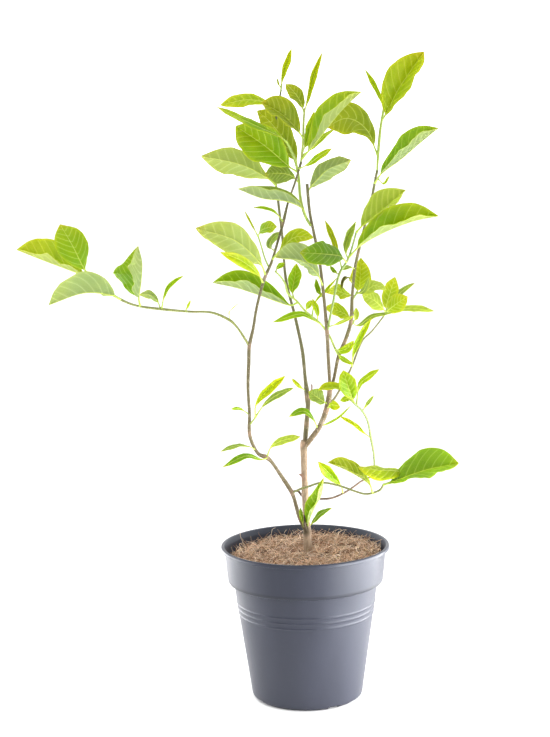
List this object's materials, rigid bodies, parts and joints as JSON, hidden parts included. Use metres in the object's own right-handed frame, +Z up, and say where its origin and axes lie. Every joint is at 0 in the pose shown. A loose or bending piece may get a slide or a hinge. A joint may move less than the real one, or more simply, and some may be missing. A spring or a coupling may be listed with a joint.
{
  "type": "potted magnolia",
  "caption": "Young magnolia with a branched woody stem and loose sprays of obovate leaves, standing in a filled round nursery pot with a flared collar.",
  "frame": {"origin": "centre of the pot's underside, on the surface that the pot stands on", "axes": "+Z up along the trunk; the longest spray reaches out along -X; -Y is the side that the picture shows"},
  "size_m": [0.4732, 0.2738, 0.7251],
  "materials": {
    "pot": "moulded anthracite plastic with a soft sheen",
    "soil": "coarse coir fibre over potting compost",
    "wood": "smooth young bark with paler rings at the nodes",
    "leaf_green": "fresh green leaf with a satin upper side",
    "leaf_olive": "olive leaf with a satin upper side",
    "leaf_yellow": "young yellow-green leaf",
    "leaf_pale": "pale matt underside of a leaf",
    "leaf_dark": "shaded dark green leaf",
    "leaf_withered": "shrivelled black-brown dead leaf"
  },
  "bodies": {
    "root": {"pot": "pot", "soil": "soil", "wood": "wood", "leaf_foot_left": "leaf_yellow", "leaf_foot_right": "leaf_green", "leaf_foot_twisted": "leaf_pale", "spray_low": "leaf_green", "leaf_low_yellow": "leaf_yellow", "spray_low_right": "leaf_green", "leaf_fork_yellow": "leaf_yellow", "leaf_fork_grey": "leaf_pale", "leaf_fork_narrow": "leaf_pale", "leaf_fork_dark": "leaf_dark", "leaf_middle_yellow": "leaf_yellow", "leaf_limb_small": "leaf_green", "spray_limb": "leaf_green", "leaf_limb_edge": "leaf_pale", "leaf_limb_green": "leaf_green", "leaf_limb_pale": "leaf_pale", "spray_left": "leaf_green", "leaf_upper_left": "leaf_pale", "leaf_upper_left_spotted": "leaf_yellow", "spray_upper_left": "leaf_green", "leaf_upper_curved": "leaf_green", "leaf_centre_yellow": "leaf_yellow", "leaf_centre_shaded": "leaf_pale", "spray_centre": "leaf_green", "leaf_stem_dark": "leaf_dark", "leaf_stem_pale": "leaf_pale", "spray_stem": "leaf_green", "spray_right_low": "leaf_green", "spray_right": "leaf_green", "leaf_right_long": "leaf_yellow", "leaf_withered": "leaf_withered", "leaf_right_grey": "leaf_pale", "spray_right_back": "leaf_green", "spray_top_right": "leaf_green", "spray_right_high": "leaf_green", "spray_top": "leaf_green", "leaf_top_narrow": "leaf_yellow", "leaf_top_shaded": "leaf_pale", "spray_top_left": "leaf_green", "leaf_top_left_pale": "leaf_olive", "leaf_top_left_curled": "leaf_olive", "spray_middle_top": "leaf_olive"}
  },
  "joints": []
}
